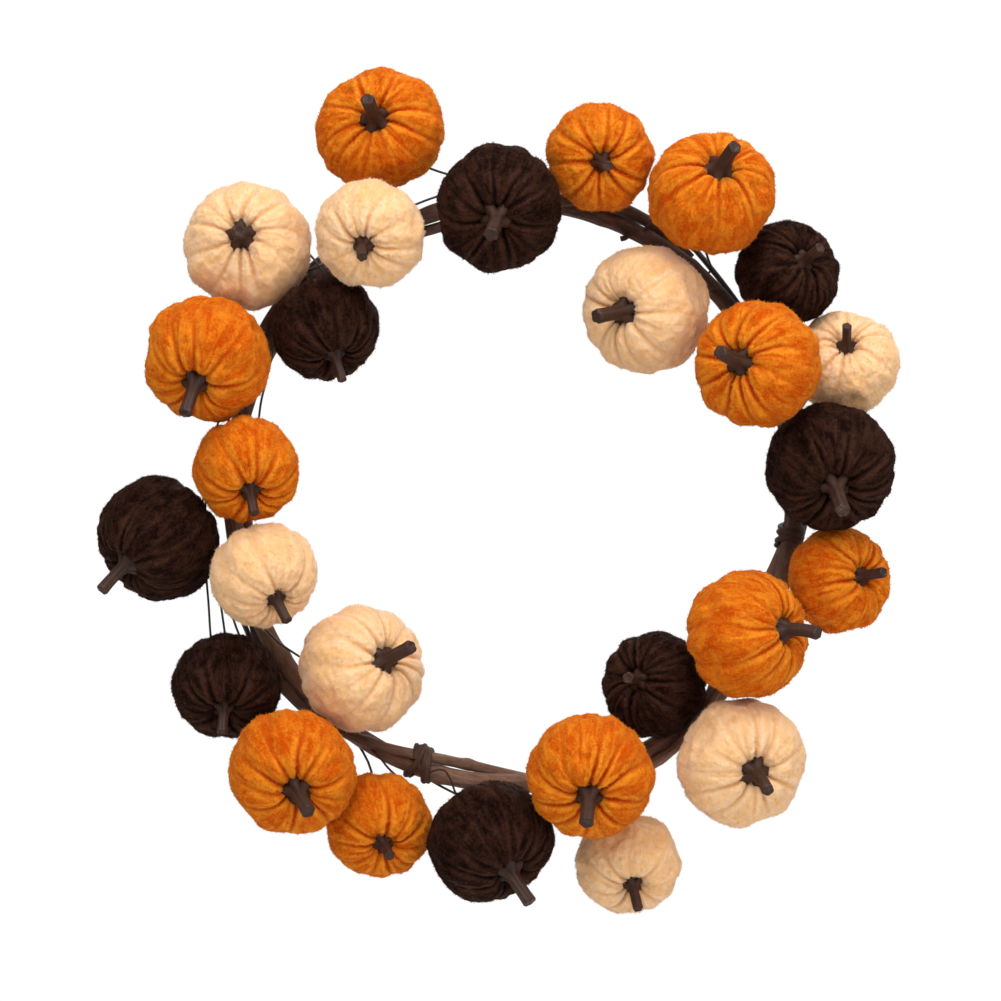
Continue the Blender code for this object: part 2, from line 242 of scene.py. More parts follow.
def sweepBar(path, sides, radiusAt, closed=False, start=None):
    # A ring of edges is carried along the path and extruded at each step.
    shape = bmesh.new()
    grain = shape.verts.layers.float_vector.new("grain")
    last = len(path) - 1
    tangents = []
    for i in range(len(path)):
        ahead = path[(i + 1) % len(path)] if closed or i < last else path[i]
        behind = path[i - 1] if closed or i else path[i]
        tangents.append((ahead - behind).normalized())
    across = Vector(start) if start else tangents[0].orthogonal()
    across = (across - tangents[0] * across.dot(tangents[0])).normalized()
    frames = [across]
    for i in range(1, len(path)):
        turned = tangents[i - 1].rotation_difference(tangents[i]) @ frames[-1]
        frames.append((turned - tangents[i] * turned.dot(tangents[i])).normalized())
    spin = 0.0
    if closed:
        back = tangents[-1].rotation_difference(tangents[0]) @ frames[-1]
        side = tangents[0].cross(frames[0])
        spin = -math.atan2(back.dot(side), back.dot(frames[0]))
    lengths = [0.0]
    for i in range(1, len(path)):
        lengths.append(lengths[-1] + (path[i] - path[i - 1]).length)
    ring = bmesh.ops.create_circle(shape, segments=sides, radius=1)["verts"]
    rings = []
    for i, centre in enumerate(path):
        if i:
            edges = [edge for vert in ring for edge in vert.link_edges
                     if edge.other_vert(vert) in ring]
            made = bmesh.ops.extrude_edge_only(shape, edges=list(dict.fromkeys(edges)))["geom"]
            fresh = [part for part in made if isinstance(part, bmesh.types.BMVert)]
            order = {tuple(round(c, 9) for c in vert.co): vert for vert in fresh}
            ring = [order[tuple(round(c, 9) for c in vert.co)] for vert in ring]
        turned = spin * i / len(path)
        across = Matrix.Rotation(turned, 3, tangents[i]) @ frames[i]
        side = tangents[i].cross(across)
        for j, vert in enumerate(ring):
            angle = math.tau * j / sides
            radius = radiusAt(i / max(last, 1), angle, lengths[i])
            vert.co = centre + (across * math.cos(angle) + side * math.sin(angle)) * radius
        rings.append(ring)
    if closed:
        bmesh.ops.bridge_loops(shape, edges=ringEdges(rings[0]) + ringEdges(rings[-1]))
    else:
        for end in (rings[0], rings[-1]):
            bmesh.ops.contextual_create(shape, geom=ringEdges(end))
    bmesh.ops.recalc_face_normals(shape, faces=shape.faces)
    for i, ring in enumerate(rings):
        for j, vert in enumerate(ring):
            angle = math.tau * j / sides
            vert[grain] = (math.cos(angle), math.sin(angle), lengths[i])
    return shape


def ringEdges(ring):
    kept = set(ring)
    edges = [edge for vert in ring for edge in vert.link_edges if edge.other_vert(vert) in kept]
    return list(dict.fromkeys(edges))


def asMesh(name, shape):
    mesh = bpy.data.meshes.new(name)
    shape.to_mesh(mesh)
    shape.free()
    return mesh


# Velvet
# deep is the velvet's darkest tone and also the painted shade in creases and fold valleys; bright is its
# lightest tone and also the painted highlight beside the folds; tip is the colour of the painted glints
# on the nap and of the painted highlight on the pile's tips, and glint sets how strongly they are
# painted
velvets = {
    "orange": {
        "deep": (0.40, 0.026, 0.0003, 1),
        "middle": (0.53, 0.076, 0.0008, 1),
        "bright": (0.71, 0.215, 0.011, 1),
        "sheen": 0.26,
        "sheenTint": (1.0, 0.58, 0.09, 1),
        "gloss": 0.04,
        "tip": (0.80, 0.37, 0.055, 1),
        "glint": 0.75,
    },
    "cream": {
        "deep": (0.70, 0.36, 0.14, 1),
        "middle": (0.83, 0.475, 0.200, 1),
        "bright": (0.87, 0.57, 0.325, 1),
        "sheen": 0.56,
        "sheenTint": (1.0, 0.91, 0.87, 1),
        "gloss": 0.06,
        "tip": (0.92, 0.73, 0.58, 1),
        "glint": 0.6,
    },
    "brown": {
        "deep": (0.0035, 0.0008, 0.0004, 1),
        "middle": (0.0068, 0.0017, 0.0008, 1),
        "bright": (0.042, 0.015, 0.008, 1),
        "sheen": 0.022,
        "sheenTint": (0.9, 0.42, 0.28, 1),
        "gloss": 0.05,
        "tip": (0.11, 0.045, 0.028, 1),
        "glint": 0.5,
    },
}


def velvetMaterial(colour):
    look = velvets[colour]
    constants = {
        "Roughness": 0.85,
        "Specular IOR Level": look["gloss"],
        "Sheen Weight": look["sheen"],
        "Sheen Roughness": 0.36,
        "Sheen Tint": look["sheenTint"],
    }
    material, graph, shader = newMaterial(colour + "Velvet", constants)
    place = graph.node("ShaderNodeTexCoord", out=3)
    cloth = graph.node("ShaderNodeAttribute", {"attribute_name": "cloth"}, out=1)
    crease = graph.node("ShaderNodeAttribute", {"attribute_name": "crease"}, out=2)
    ridge = graph.node("ShaderNodeAttribute", {"attribute_name": "ridge"}, out=2)
    # brushed streaks run from the stem outwards, crushed patches lie anywhere
    brushed = graph.node("ShaderNodeTexNoise", {}, {"Vector": cloth, "Scale": 3.6, "Detail": 5.0,
                                                    "Roughness": 0.62, "Distortion": 0.7})
    crushed = graph.node("ShaderNodeTexNoise", {}, {"Vector": place, "Scale": 85.0, "Detail": 4.0,
                                                    "Roughness": 0.58, "Distortion": 0.8})
    tufts = graph.node("ShaderNodeTexNoise", {}, {"Vector": place, "Scale": 700.0, "Detail": 3.0,
                                                  "Roughness": 0.75})
    fibres = graph.node("ShaderNodeTexNoise", {}, {"Vector": place, "Scale": 2600.0, "Detail": 2.0})
    nap = brushed * 0.40 + crushed * 0.28 + tufts * 0.32
    # the raised nap is random mottling plus the painted highlight beside creases and folds
    raised = graph.node("ShaderNodeValToRGB", {"stops": ((0.44, 0.0), (0.62, 1.0))},
                        {"Fac": nap + ridge * 0.15})
    pressed = graph.node("ShaderNodeValToRGB", {"stops": ((0.36, 1.0), (0.52, 0.0))}, {"Fac": nap})
    # painted glints: bright flecks of nap, stronger beside the folds, painted in the tip colour
    glints = graph.node("ShaderNodeValToRGB", {"stops": ((0.60, 0.0), (0.70, 1.0))},
                        {"Fac": tufts * 0.6 + fibres * 0.2 + brushed * 0.2 + ridge * 0.06})
    tone = raised.mix(look["middle"], look["bright"])
    # painted shade in creases and fold valleys, together with random pressed patches of pile, toward the
    # deep colour
    tone = graph.maths("MAXIMUM", pressed * 0.45, crease).mix(tone, look["deep"])
    tone = (glints * look["glint"]).mix(tone, look["tip"])
    height = crushed * 0.5 + tufts * 0.7 + fibres * 0.4 + brushed * 0.4
    bump = graph.node("ShaderNodeBump", {}, {"Height": height, "Strength": 0.7, "Distance": 0.0012})
    finishMaterial(graph, shader, {"Base Color": tone, "Normal": bump,
                                   "Roughness": 0.95 - raised * 0.3})
    return material


# Pumpkin covers: a ball gathered at both ends and pulled in by stitched creases, then
# filled out as cloth, and last its crushed pile.
cover = {
    "around": 192,
    "up": 96,
    "creases": (9, 12),
    "creaseDepth": 0.088,
    "folds": 28,
    "foldDepth": 0.030,
    "crestShare": 0.36,
    "dimple": 0.23,
    "masters": {"large": 4, "small": 4},
    "pressure": 4.0,
    "frames": 12,
    "cap": 0.003,
    "softening": 3,
    "lumps": ((40, 0.035), (100, 0.010)),
    "pile": ((310, 0.00045), (640, 0.00050)),
}


def rampUp(low, high, values):
    share = np.clip((values - low) / (high - low), 0, 1)
    return share * share * (3 - 2 * share)


def turnGap(around, angle):
    return (around - angle + math.pi) % math.tau - math.pi


def unevenness(points, layers, shift):
    # Layers of noise, each with its scale and its depth, summed at every point.
    return np.array([sum(noise.noise(Vector(point) * scale + shift) * depth for scale, depth in layers)
                     for point in points])


def coverMesh(name, halfWidth, halfHeight, stemRadius, seed):
    rng = np.random.default_rng(seed)
    shape = bmesh.new()
    clothLayer = shape.verts.layers.float_vector.new("cloth")
    creaseLayer = shape.verts.layers.float.new("crease")
    ridgeHighlightLayer = shape.verts.layers.float.new("ridge")
    bmesh.ops.create_uvsphere(shape, u_segments=cover["around"], v_segments=cover["up"], radius=1)
    ball = np.array([vert.co for vert in shape.verts])
    around = np.arctan2(ball[:, 1], ball[:, 0]) % math.tau
    rise = np.arcsin(np.clip(ball[:, 2], -1, 1)) / (math.pi / 2)
    ends = np.abs(rise)
    crest = cover["crestShare"] * halfWidth
    bulge = halfWidth - crest
    seat = stemRadius * 0.62
    limit = math.acos((seat - crest) / bulge)
    turn = np.clip(ends / 0.94, 0, 1) * limit
    closing = np.clip((ends - 0.94) / 0.06, 0, 1)
    inward = np.clip((turn - math.pi / 2) / (limit - math.pi / 2), 0, 1)
    radius = (crest + bulge * np.cos(turn)) * (1 - closing)
    height = halfHeight * np.where(turn < math.pi / 2, np.sin(turn), 1 - cover["dimple"] * inward ** 1.5)
    height = (height - closing * 0.0015) * np.sign(rise)
    # creases from end to end leave full lobes between them
    count = int(rng.integers(*cover["creases"]))
    steps = rng.uniform(0.6, 1.4, count)
    angles = np.cumsum(steps) / steps.sum() * math.tau
    strengths = rng.uniform(0.4, 1.35, count)
    swirl = rng.uniform(-0.25, 0.25)
    bent = around + swirl * (ends - 0.5) + 0.05 * np.sin(3 * around + rise * 5)
    gaps = turnGap(bent[:, None], angles[None, :])
    ahead = np.where(gaps <= 0, -gaps, 9).min(axis=1)
    behind = np.where(gaps > 0, gaps, 9).min(axis=1)
    share = behind / (ahead + behind)
    nearest = strengths[np.abs(gaps).argmin(axis=1)]
    lobe = (4 * share * (1 - share)) ** 0.55
    fade = 0.34 + 0.66 * rampUp(0.1, 0.8, ends)
    depth = cover["creaseDepth"] * nearest * fade * (1 - lobe)
    across = np.abs(gaps).min(axis=1) * np.maximum(radius, 0.004)
    # painted shade: the core of each crease is darkened toward the deep colour; the same mask also holds
    # the cloth at the creases
    core = np.exp(-(across / 0.0012) ** 2) * fade * nearest
    # painted highlight: a lighter band along the side of each crease
    ridgeHighlights = np.exp(-((across - 0.0026) / 0.0014) ** 2) * rampUp(0.15, 0.5, ends) * nearest
    # finer folds begin part of the way down and crowd together at the stem
    for k in range(cover["folds"]):
        start = rng.uniform(0.3, 0.8)
        width = rng.uniform(0.0008, 0.0018)
        fold = turnGap(bent, rng.uniform(0, math.tau) + 0.2 * ends)
        strength = rng.uniform(0.3, 1.0) * rampUp(start, start + 0.25, ends)
        if k % 3 == 0:
            strength *= rise < 0
        valley = np.exp(-(fold * np.maximum(radius, 0.003) / width) ** 2) * strength
        depth += cover["foldDepth"] * valley
        # fold valleys join the painted crease shade
        core = np.maximum(core, 0.75 * valley)
        # the sides of the folds join the painted highlight
        beside = np.exp(-((fold * np.maximum(radius, 0.003) - 2 * width) / width) ** 2) * strength
        ridgeHighlights = np.maximum(ridgeHighlights, beside * 0.9)
    depth *= 1 - closing
    place = np.stack((radius * np.cos(around), radius * np.sin(around), height), axis=1)
    outward = np.stack((np.cos(turn) * np.cos(around), np.cos(turn) * np.sin(around),
                        np.sin(turn) * np.sign(rise)), axis=1)
    shift = Vector(rng.uniform(-40, 40, 3))
    uneven = unevenness(place, cover["lumps"], shift)
    place += outward * (halfWidth * (uneven - depth))[:, None]
    for i, vert in enumerate(shape.verts):
        vert.co = place[i]
        vert[clothLayer] = (math.cos(around[i]) * 2.2, math.sin(around[i]) * 2.2, rise[i] * 1.1)
        vert[creaseLayer] = min(1, core[i])
        vert[ridgeHighlightLayer] = min(1, ridgeHighlights[i])
    bmesh.ops.recalc_face_normals(shape, faces=shape.faces)
    return asMesh(name, shape)


def meshPoints(mesh):
    points = np.zeros(len(mesh.vertices) * 3, np.float32)
    mesh.vertices.foreach_get("co", points)
    return points.reshape(-1, 3)


def fillOut(mesh, halfWidth):
    # The cover is blown up as cloth while its creases and both ends are held.
    piece = bpy.data.objects.new(mesh.name, mesh)
    bpy.context.scene.collection.objects.link(piece)
    hold = piece.vertex_groups.new(name="hold")
    creases = np.zeros(len(mesh.vertices), np.float32)
    mesh.attributes["crease"].data.foreach_get("value", creases)
    start = meshPoints(mesh)
    radii = np.hypot(start[:, 0], start[:, 1])
    for i, (crease, radius) in enumerate(zip(creases, radii)):
        weight = 1.0 if radius < 0.28 * halfWidth else min(1.0, float(crease) * 1.5)
        if weight > 0.05:
            hold.add([i], weight, "REPLACE")
    cloth = piece.modifiers.new("fill", "CLOTH")
    cloth.settings.quality = 4
    cloth.settings.mass = 0.2
    cloth.settings.tension_stiffness = 12
    cloth.settings.compression_stiffness = 12
    cloth.settings.shear_stiffness = 4
    cloth.settings.bending_stiffness = 0.3
    cloth.settings.use_pressure = True
    cloth.settings.uniform_pressure_force = cover["pressure"]
    cloth.settings.shrink_min = -0.06
    cloth.settings.vertex_group_mass = "hold"
    cloth.settings.pin_stiffness = 3
    cloth.settings.effector_weights.gravity = 0
    cloth.collision_settings.use_collision = False
    cloth.point_cache.frame_start = 1
    cloth.point_cache.frame_end = cover["frames"]
    for step in range(1, cover["frames"] + 1):
        bpy.context.scene.frame_set(step)
    graph = bpy.context.evaluated_depsgraph_get()
    move = meshPoints(piece.evaluated_get(graph).data) - start
    length = np.linalg.norm(move, axis=1, keepdims=True)
    move *= np.minimum(1, cover["cap"] / np.maximum(length, 1e-9))
    piece.modifiers.remove(cloth)
    mesh.vertices.foreach_set("co", (start + move).ravel())
    bpy.data.objects.remove(piece)
    bpy.context.scene.frame_set(1)


def raisePile(mesh, seed):
    # Crushed pile stands unevenly, which also roughens the outline.
    mesh.update()
    normals = np.array([vert.normal for vert in mesh.vertices])
    points = meshPoints(mesh)
    shift = Vector((seed * 1.3, seed * 0.7, seed * 2.1))
    lift = unevenness(points, cover["pile"], shift)
    mesh.vertices.foreach_set("co", (points + normals * lift[:, None]).astype(np.float32).ravel())


def soften(mesh):
    # Stuffed velvet keeps no sharp wrinkles.
    shape = bmesh.new()
    shape.from_mesh(mesh)
    for step in range(cover["softening"]):
        bmesh.ops.smooth_vert(shape, verts=shape.verts, factor=0.5, use_axis_x=True, use_axis_y=True,
                              use_axis_z=True)
    shape.to_mesh(mesh)
    shape.free()


def fitInside(mesh, halfWidth, halfHeight):
    # The widest lobe comes to the cover's own width and height.
    points = meshPoints(mesh)
    widest = np.percentile(np.hypot(points[:, 0], points[:, 1]), 99)
    low, high = np.percentile(points[:, 2], (0.2, 99.8))
    points[:, :2] *= halfWidth * 1.01 / widest
    points[:, 2] = (points[:, 2] - (low + high) / 2) * halfHeight * 2 / (high - low)
    mesh.vertices.foreach_set("co", points.ravel())


# Tufts of pile that stand off the cover: a few cones doubled over and over, then spread about.
pile = {
    "first": 3,
    "doublings": 11,
    "sides": 3,
    "width": 0.00021,
    "length": (0.0008, 0.0018),
    "sunk": 0.0004,
    "lean": 0.75,
}


def pileMesh(master, seed):
    rng = np.random.default_rng(seed)
    shape = bmesh.new()
    ownerLayer = shape.verts.layers.int.new("owner")
    for number in range(pile["first"]):
        cone = bmesh.ops.create_cone(shape, cap_ends=True, segments=pile["sides"], radius1=1,
                                     radius2=0, depth=1)
        for vert in cone["verts"]:
            vert.co.z += 0.5
            vert[ownerLayer] = number
    for step in range(pile["doublings"]):
        made = bmesh.ops.duplicate(shape, geom=shape.verts[:] + shape.edges[:] + shape.faces[:])["geom"]
        for part in made:
            if isinstance(part, bmesh.types.BMVert):
                part[ownerLayer] += pile["first"] * 2 ** step
    owners = np.array([vert[ownerLayer] for vert in shape.verts])
    mesh = asMesh(master.name + "Pile", shape)
    count = pile["first"] * 2 ** pile["doublings"]
    areas = np.array([face.area for face in master.polygons])
    faces = rng.choice(len(areas), count, p=areas / areas.sum())
    corners = [master.polygons[int(face)].vertices[:3] for face in faces]
    weights = rng.dirichlet((1, 1, 1), count)
    points = meshPoints(master)[np.array(corners)]
    roots = (points * weights[:, :, None]).sum(axis=1)
    normals = np.array([master.polygons[int(face)].normal for face in faces])
    brushedWay = normals + rng.normal(0, pile["lean"] / 1.7, (count, 3))
    upright = brushedWay / np.linalg.norm(brushedWay, axis=1, keepdims=True)
    across = np.cross(upright, rng.normal(0, 1, (count, 3)))
    across /= np.linalg.norm(across, axis=1, keepdims=True)
    side = np.cross(upright, across)
    length = rng.uniform(*pile["length"], count) + pile["sunk"]
    width = pile["width"] * rng.uniform(0.7, 1.3, count)
    local = meshPoints(mesh)
    placed = roots[owners] - normals[owners] * pile["sunk"]
    placed += across[owners] * (local[:, :1] * width[owners, None])
    placed += side[owners] * (local[:, 1:2] * width[owners, None])
    placed += upright[owners] * (local[:, 2:] * length[owners, None])
    mesh.vertices.foreach_set("co", placed.astype(np.float32).ravel())
    tips = mesh.attributes.new("tip", "FLOAT", "POINT")
    tips.data.foreach_set("value", local[:, 2].astype(np.float32))
    return mesh


def pileMaterial(colour):
    look = velvets[colour]
    constants = {
        "Specular IOR Level": look["gloss"],
        "Sheen Weight": look["sheen"],
        "Sheen Roughness": 0.36,
        "Sheen Tint": look["sheenTint"],
    }
    material, graph, shader = newMaterial(colour + "Pile", constants)
    place = graph.node("ShaderNodeTexCoord", out=3)
    tip = graph.node("ShaderNodeAttribute", {"attribute_name": "tip"}, out=2)
    patches = graph.node("ShaderNodeTexNoise", {}, {"Vector": place, "Scale": 85.0, "Detail": 4.0})
    strands = graph.node("ShaderNodeTexNoise", {}, {"Vector": place, "Scale": 900.0, "Detail": 2.0})
    raised = graph.node("ShaderNodeValToRGB", {"stops": ((0.40, 0.0), (0.64, 1.0))},
                        {"Fac": patches * 0.5 + strands * 0.5})
    tone = raised.mix(look["middle"], look["bright"])
    # painted highlight: flecks lighter toward the tufts' tips, in the glint colour
    tone = (tip * strands * look["glint"]).mix(tone, look["tip"])
    bump = graph.node("ShaderNodeBump", {}, {"Height": strands, "Strength": 0.3, "Distance": 0.0003})
    finishMaterial(graph, shader, {"Base Color": tone, "Roughness": 0.95 - raised * 0.2,
                                   "Normal": bump})
    return material


def measurePumpkin(joint):
    body = joint["child"]
    centre = Vector(joint["pos_m"])
    axis = Vector(joint["axis"]).normalized()
    found = {}
    for part in ("cover", "stem"):
        points = [vert.co - centre for vert in frame["nodes"][body + "_" + part].data.vertices]
        found[part] = (points, [point.dot(axis) for point in points])
    points, heights = found["cover"]
    halfWidth = max((point - axis * height).length for point, height in zip(points, heights))
    points, stemHeights = found["stem"]
    top, foot = max(stemHeights), min(stemHeights)
    tip = [point for point, height in zip(points, stemHeights) if height > top - 0.002]
    tipCentre = sum(tip, Vector()) / len(tip)
    lean = tipCentre - axis * tipCentre.dot(axis)
    bend = lean.normalized()
    base = [point for point, height in zip(points, stemHeights) if height < foot + 0.0005]
    placing = Matrix((bend, axis.cross(bend), axis)).transposed().to_4x4()
    placing.translation = centre
    return {
        "body": body,
        "colour": body.split("_")[2],
        "size": "large" if halfWidth > 0.035 else "small",
        "halfWidth": halfWidth,
        "halfHeight": max(heights),
        "foot": foot,
        "top": top,
        "footRadius": max((point - axis * foot).length for point in base),
        "lean": lean.length,
        "placing": placing,
    }


pumpkins = [measurePumpkin(joint) for joint in frame["joints"]]
velvetMaterials = {colour: velvetMaterial(colour) for colour in velvets}
pileMaterials = {colour: pileMaterial(colour) for colour in velvets}
masters = {}
pileMasters = {}
for size, count in cover["masters"].items():
    sample = next(pumpkin for pumpkin in pumpkins if pumpkin["size"] == size)
    for k in range(count):
        seed = 11 + 7 * k + (100 if size == "small" else 0)
        master = coverMesh(size + "Cover" + str(k), sample["halfWidth"] * 0.97, sample["halfHeight"],
                           sample["footRadius"], seed)
        fillOut(master, sample["halfWidth"])
        soften(master)
        fitInside(master, sample["halfWidth"], sample["halfHeight"])
        raisePile(master, seed)
        masters[size, k] = master
        pileMasters[size, k] = pileMesh(master, seed)
print("cover shapes ready:", len(masters))


def placeCover(pumpkin, number):
    rng = np.random.default_rng(900 + number)
    chosen = (pumpkin["size"], number % cover["masters"][pumpkin["size"]])
    body, colour = pumpkin["body"], pumpkin["colour"]
    turn = Matrix.Rotation(rng.uniform(0, math.tau), 4, "Z")
    oval = Matrix.Diagonal((1 + rng.uniform(-0.03, 0.02), 1 + rng.uniform(-0.03, 0.02), 1, 1))
    placing = pumpkin["placing"] @ oval @ turn
    mesh = masters[chosen].copy()
    mesh.transform(placing)
    material = velvetMaterials[colour]
    piece = newPiece(body + "_velvet", mesh, body, colour + "_velvet", material, (body + "_cover",))
    mesh = pileMasters[chosen].copy()
    mesh.transform(placing)
    newPiece(body + "_pile", mesh, body, colour + "_velvet", pileMaterials[colour])


for number, pumpkin in enumerate(pumpkins):
    placeCover(pumpkin, number)
print("covers ready:", len(pumpkins))


# Stems
stem = {
    "sides": 42,
    "steps": 36,
    "ribs": 5,
    "fall": 0.25,
    "ribDepth": 0.10,
    "footRibDepth": 0.20,
    "neckShare": 0.48,
}


def stemMaterial():
    material, graph, shader = newMaterial("stemPlastic", {"Specular IOR Level": 0.26})
    place = graph.node("ShaderNodeTexCoord", out=3)
    wear = graph.node("ShaderNodeAttribute", {"attribute_name": "wear"}, out=2)
    patches = graph.node("ShaderNodeTexNoise", {}, {"Vector": place, "Scale": 190.0, "Detail": 4.0})
    grit = graph.node("ShaderNodeTexNoise", {}, {"Vector": place, "Scale": 1300.0, "Detail": 3.0})
    tone = patches.mix((0.018, 0.006, 0.003, 1), (0.062, 0.026, 0.015, 1))
    rub = graph.node("ShaderNodeValToRGB", {"stops": ((0.60, 0.0), (0.70, 1.0))},
                     {"Fac": grit * 0.55 + patches * 0.30 + wear * 0.13})
    tone = (rub * 0.6).mix(tone, (0.22, 0.165, 0.14, 1))
    bump = graph.node("ShaderNodeBump", {}, {"Height": grit * 0.5 + patches, "Strength": 0.4,
                                             "Distance": 0.0005})
    finishMaterial(graph, shader, {"Base Color": tone, "Roughness": 0.44 + patches * 0.25,
                                   "Normal": bump})
    return material


def stemMesh(pumpkin, seed):
    rng = np.random.default_rng(seed)
    length = pumpkin["top"] - pumpkin["foot"]
    base = pumpkin["footRadius"] * rng.uniform(0.98, 1.12)
    neck = pumpkin["footRadius"] * stem["neckShare"] * rng.uniform(0.9, 1.08)
    bend = rng.uniform(1.5, 2.4)
    route = [Vector((pumpkin["lean"] * share ** bend, 0, pumpkin["foot"] + length * share))
             for share in (0, 0.08, 0.2, 0.35, 0.55, 0.78, 1)]
    path = smoothPath(route, stem["steps"])
    shift = rng.uniform(0, math.tau)
    reach = rng.uniform(-0.35, 0.35, stem["ribs"] + 1)

    def radiusAt(share, angle, length):
        flare = math.exp(-(share / stem["fall"]) ** 2)
        turn = stem["ribs"] * angle + shift + 1.4 * share
        rib = abs(math.cos(turn / 2)) * 2 - 1.2
        lobe = reach[int(((turn % (math.tau * stem["ribs"])) / math.tau))]
        radius = neck + (base - neck) * flare
        radius *= 1 + rib * (stem["ribDepth"] + stem["footRibDepth"] * flare) + 0.16 * flare * lobe
        tip = max(0, (share - 0.82) / 0.18)
        radius *= 1 + 0.07 * tip
        return radius * (0.84 if share > 0.985 else 1)

    shape = sweepBar(path, stem["sides"], radiusAt, start=(1, 0, 0))
    wearLayer = shape.verts.layers.float.new("wear")
    low, high = pumpkin["foot"], pumpkin["top"]
    for vert in shape.verts:
        share = (vert.co.z - low) / (high - low)
        vert[wearLayer] = max(0, min(1, (share - 0.78) * 5))
    cap = max(shape.faces, key=lambda face: (len(face.verts), face.calc_center_median().z))
    bmesh.ops.inset_region(shape, faces=[cap], thickness=neck * 0.28, depth=-0.0007)
    return asMesh(pumpkin["body"] + "_moulded_stem", shape)


stemPlastic = stemMaterial()
for number, pumpkin in enumerate(pumpkins):
    mesh = stemMesh(pumpkin, 40 + number)
    mesh.transform(pumpkin["placing"])
    node = pumpkin["body"] + "_stem"
    newPiece(mesh.name, mesh, pumpkin["body"], "stem_plastic", stemPlastic, (node,))
print("stems ready")


# The vine ring
lowCorner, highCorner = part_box("vine_main_cane")
vine = {
    "mainRadius": 0.0055,
    "secondRadius": 0.0032,
    "turns": 4.4,
    "start": 52,
    "sweep": 338,
    "phase": -60,
    "gap": 0.0006,
    "knotSpacing": 0.062,
    "wander": 0.0008,
    "barked": 0.777,         # how far along the main cane its bark is palest
}
vine["halfWidth"] = (highCorner.x - lowCorner.x) / 2 - vine["mainRadius"]
vine["halfHeight"] = (highCorner.z - lowCorner.z) / 2 - vine["mainRadius"]
vine["centreDrop"] = vine["halfHeight"] - vine["mainRadius"]


def ringPoint(clock, out=0.0, forward=0.0):
    angle = math.radians(clock)
    return Vector(((vine["halfWidth"] + out) * math.cos(angle), -forward,
                   (vine["halfHeight"] + out) * math.sin(angle) - vine["centreDrop"]))


def ringPlaces(places):
    # Places in millimetres: across and up from the ring's centre, and in front of it.
    return [Vector((x / 1000, -forward / 1000, z / 1000 - vine["centreDrop"]))
            for x, z, forward in places]


def secondOffset(clock):
    # Where the second cane lies beside the main one: outside it and in front of it.
    winding = vine["mainRadius"] + vine["secondRadius"] + vine["gap"]
    share = (clock - vine["start"]) / vine["sweep"]
    turn = math.radians(vine["phase"] + 360 * vine["turns"] * share)
    return winding * math.cos(turn), winding * math.sin(turn)


def secondPath(count):
    path = []
    for i in range(count):
        clock = vine["start"] + vine["sweep"] * i / (count - 1)
        path.append(ringPoint(clock, *secondOffset(clock)))
    return path


def wandering(path):
    noise.seed_set(5)
    return [point + noise.noise_vector(point * 28) * vine["wander"] for point in path]


def barkRadius(size, seed):
    shift = Vector((seed * 3.1, seed * 1.7, 0))

    def radiusAt(share, angle, length):
        around = Vector((math.cos(angle + length * 9), math.sin(angle + length * 9), 0))
        ridgeHighlights = noise.noise(around * 2.4 + Vector((0, 0, length * 22)) + shift)
        fine = noise.noise(around * 7 + Vector((0, 0, length * 60)) + shift)
        swell = noise.noise(Vector((0, 0, length * 11)) + shift)
        beat = (length / vine["knotSpacing"] + seed) % 1
        knot = math.exp(-((beat - 0.5) * 15) ** 2)
        stop = Vector((0, 0, math.floor(length / vine["knotSpacing"] + seed) * 3.7))
        lump = max(0, noise.noise(around * 1.2 + shift + stop))
        return size * (1 + 0.14 * ridgeHighlights + 0.08 * fine + 0.10 * swell + knot * (0.08 + 0.55 * lump))

    return radiusAt


def barkMaterial():
    material, graph, shader = newMaterial("vineBark", {"Specular IOR Level": 0.3})
    place = graph.node("ShaderNodeTexCoord", out=3)
    grain = graph.node("ShaderNodeAttribute", {"attribute_name": "grain"}, out=1)
    length = graph.node("ShaderNodeSeparateXYZ", {}, {0: grain}, out=2)
    stretched = graph.node("ShaderNodeVectorMath", {"operation": "MULTIPLY"},
                           {0: grain, 1: (3.4, 3.4, 70.0)})
    streaks = graph.node("ShaderNodeTexNoise", {}, {"Vector": stretched, "Scale": 1.5, "Detail": 7.0,
                                                    "Roughness": 0.70, "Distortion": 0.7})
    patches = graph.node("ShaderNodeTexNoise", {}, {"Vector": place, "Scale": 55.0, "Detail": 5.0})
    pits = graph.node("ShaderNodeTexNoise", {}, {"Vector": place, "Scale": 900.0, "Detail": 3.0})
    worn = streaks * 0.62 + patches * 0.38
    dark = graph.node("ShaderNodeValToRGB", {"stops": (
        (0.34, (0.020, 0.007, 0.004, 1)),
        (0.48, (0.062, 0.027, 0.017, 1)),
        (0.60, (0.125, 0.062, 0.040, 1)),
        (0.74, (0.27, 0.165, 0.12, 1)),
    )}, {"Fac": worn})
    pale = graph.node("ShaderNodeValToRGB", {"stops": (
        (0.32, (0.062, 0.028, 0.018, 1)),
        (0.46, (0.165, 0.082, 0.050, 1)),
        (0.60, (0.27, 0.150, 0.100, 1)),
        (0.74, (0.46, 0.32, 0.25, 1)),
    )}, {"Fac": worn})
    turned = graph.maths("COSINE", (length - vine["barked"]) * (math.tau / 1.093))
    tone = graph.node("ShaderNodeClamp", {}, {0: turned * 0.9 + 0.15}).mix(dark, pale)
    bump = graph.node("ShaderNodeBump", {}, {"Height": streaks + pits * 0.35, "Strength": 0.9,
                                             "Distance": 0.0014})
    finishMaterial(graph, shader, {"Base Color": tone, "Roughness": 0.50 + streaks * 0.35,
                                   "Normal": bump})
    return material


